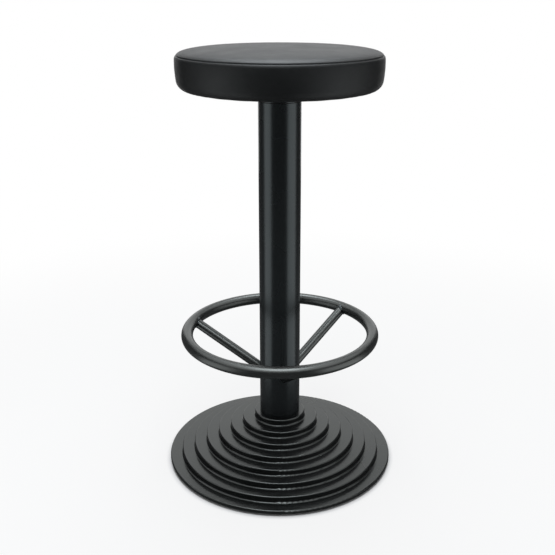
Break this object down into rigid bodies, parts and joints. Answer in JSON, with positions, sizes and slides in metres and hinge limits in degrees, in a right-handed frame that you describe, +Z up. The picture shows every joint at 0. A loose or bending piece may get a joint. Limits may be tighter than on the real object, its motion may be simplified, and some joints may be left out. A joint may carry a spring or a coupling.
{
  "type": "bar stool with footrest",
  "caption": "Bar stool with a round padded swivel seat on a tubular column, a ring footrest on slanted spokes and a stepped round cast base.",
  "frame": {"origin": "centre of the underside, on the floor", "axes": "+Z up along the column, +X to the sitter's right as seen from the front, +Y to the back"},
  "size_m": [0.43, 0.43, 0.78],
  "materials": {
    "cast_base": "satin",
    "black_coat": "satin",
    "bare_steel": "satin",
    "zinc_steel": "satin",
    "spring_steel": "satin",
    "nylon": "matte",
    "pad_rubber": "matte",
    "plywood": "matte",
    "foam": "matte",
    "vinyl": "satin",
    "dust_cloth": "matte",
    "staple_wire": "satin"
  },
  "bodies": {
    "pedestal": {"base_casting": "cast_base", "floor_pads": "pad_rubber", "tie_washer": "zinc_steel", "spring_washer": "zinc_steel", "tie_bolt": "zinc_steel", "column_tube": "black_coat", "foot_plate": "bare_steel", "foot_plate_weld": "bare_steel", "footrest_ring": "black_coat", "spoke_front": "black_coat", "spoke_right": "black_coat", "spoke_left": "black_coat", "column_welds": "black_coat", "ring_welds": "black_coat", "bearing_housing": "bare_steel", "housing_disc": "bare_steel", "lower_bush": "nylon", "upper_bush": "nylon", "slip_ring": "nylon"},
    "seat": {"seat_spindle": "bare_steel", "circlip": "spring_steel", "retaining_washer": "zinc_steel", "head_sleeve": "black_coat", "head_disc": "bare_steel", "sleeve_weld": "black_coat", "seat_plate": "black_coat", "seat_screws": "zinc_steel", "screw_washers": "zinc_steel", "tee_nuts": "zinc_steel", "seat_board": "plywood", "seat_foam": "foam", "cover_top": "vinyl", "cover_side": "vinyl", "dust_cover": "dust_cloth", "staples": "staple_wire"}
  },
  "joints": [
    {"name": "seat_swivel", "type": "hinge", "parent": "pedestal", "child": "seat", "pos_m": [0, 0, 0.6475], "axis": [0, 0, 1], "continuous": true}
  ]
}
